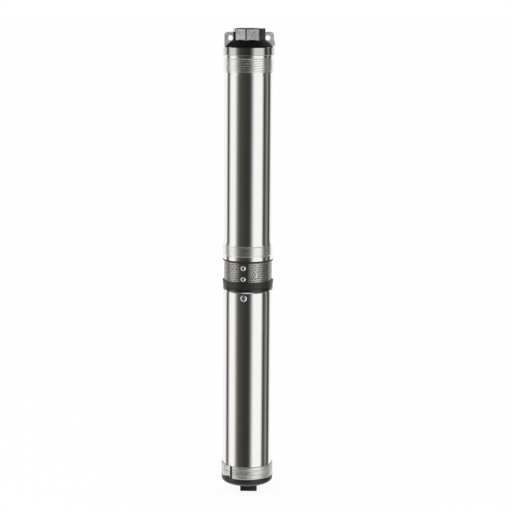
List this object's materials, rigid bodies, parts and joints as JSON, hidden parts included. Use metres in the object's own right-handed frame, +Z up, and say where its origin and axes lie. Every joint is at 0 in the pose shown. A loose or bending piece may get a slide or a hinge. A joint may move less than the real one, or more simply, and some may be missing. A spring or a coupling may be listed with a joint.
{
  "type": "borehole submersible pump",
  "caption": "Slim multistage submersible well pump: octagonal threaded outlet with rope eyes, polished pump tube, perforated intake and oil-filled motor with a black domed end cap.",
  "frame": {"origin": "centre of the outlet thread's mouth", "axes": "+Z up along the pump's axis, out of the outlet; +X towards the right-hand rope eye; -Y is the front"},
  "size_m": [0.0984, 0.0984, 0.8807],
  "materials": {
    "cast_steel": "satin stainless casting",
    "polished_steel": "polished stainless tube",
    "turned_steel": "turned stainless",
    "sheet_steel": "perforated stainless sheet",
    "black_moulding": "satin black moulding",
    "black_paint": "satin black enamel on cast iron",
    "stage_polymer": "glass-filled polymer",
    "valve_brass": "cast brass",
    "black_rubber": "moulded rubber",
    "spring_steel": "spring wire",
    "laminations": "stacked electrical steel",
    "copper": "enamelled copper wire",
    "shield_iron": "machined cast iron",
    "bearing_steel": "ground bearing steel",
    "seal_faces": "lapped ceramic",
    "seal_bellows": "rubber bellows on a carbon ring"
  },
  "bodies": {
    "pump_body": {"discharge_head": "cast_steel", "dome_collar": "black_moulding", "head_o_ring": "black_rubber", "valve_guide": "valve_brass", "valve_spring": "spring_steel", "valve_seat": "valve_brass", "pump_tube": "polished_steel", "top_bearing_spider": "black_moulding", "top_bearing_bush": "black_rubber", "diffuser_1": "stage_polymer", "diffuser_2": "stage_polymer", "diffuser_3": "stage_polymer", "diffuser_4": "stage_polymer", "diffuser_5": "stage_polymer", "diffuser_6": "stage_polymer", "diffuser_7": "stage_polymer", "diffuser_8": "stage_polymer", "intake_lantern": "black_moulding", "intake_strainer": "sheet_steel", "strainer_screws": "turned_steel", "flange_fasteners": "turned_steel", "motor_top_shield": "black_paint", "shield_o_ring": "black_rubber", "cable_gland": "black_moulding", "fill_plug": "turned_steel", "motor_tube": "polished_steel", "stator_core": "laminations", "stator_winding": "copper", "seal_seat": "seal_faces", "upper_bearing_outer": "bearing_steel", "lower_bearing_outer": "bearing_steel", "motor_lower_shield": "shield_iron", "diaphragm": "black_rubber", "bottom_ring": "turned_steel", "bottom_cap": "black_moulding", "drain_plug": "black_moulding"},
    "rotor": {"motor_shaft": "turned_steel", "rotor_core": "laminations", "upper_bearing_inner": "bearing_steel", "lower_bearing_inner": "bearing_steel", "seal_head": "seal_bellows", "sand_slinger": "black_rubber", "shaft_coupling": "turned_steel", "pump_shaft": "turned_steel", "impeller_nut": "turned_steel", "impeller_1": "stage_polymer", "impeller_2": "stage_polymer", "impeller_3": "stage_polymer", "impeller_4": "stage_polymer", "impeller_5": "stage_polymer", "impeller_6": "stage_polymer", "impeller_7": "stage_polymer", "impeller_8": "stage_polymer"},
    "upper_cage": {"upper_bearing_balls": "bearing_steel"},
    "lower_cage": {"lower_bearing_balls": "bearing_steel"},
    "valve": {"valve_poppet": "valve_brass"}
  },
  "joints": [
    {"name": "shaft_spin", "type": "hinge", "parent": "pump_body", "child": "rotor", "pos_m": [0, 0, -0.65], "axis": [0, 0, 1], "continuous": true},
    {"name": "upper_cage_orbit", "type": "hinge", "parent": "pump_body", "child": "upper_cage", "pos_m": [0, 0, -0.526], "axis": [0, 0, 1], "continuous": true},
    {"name": "lower_cage_orbit", "type": "hinge", "parent": "pump_body", "child": "lower_cage", "pos_m": [0, 0, -0.772], "axis": [0, 0, 1], "continuous": true},
    {"name": "check_valve_lift", "type": "slide", "parent": "pump_body", "child": "valve", "axis": [0, 0, 1], "range_m": [0, 0.008], "stiffness_N_per_m": 150, "springref_m": -0.012, "deforming": ["valve_spring"]}
  ],
  "couplings": [
    {"joint": "upper_cage_orbit", "follows": "shaft_spin", "ratio": 0.3816},
    {"joint": "lower_cage_orbit", "follows": "shaft_spin", "ratio": 0.3816}
  ]
}
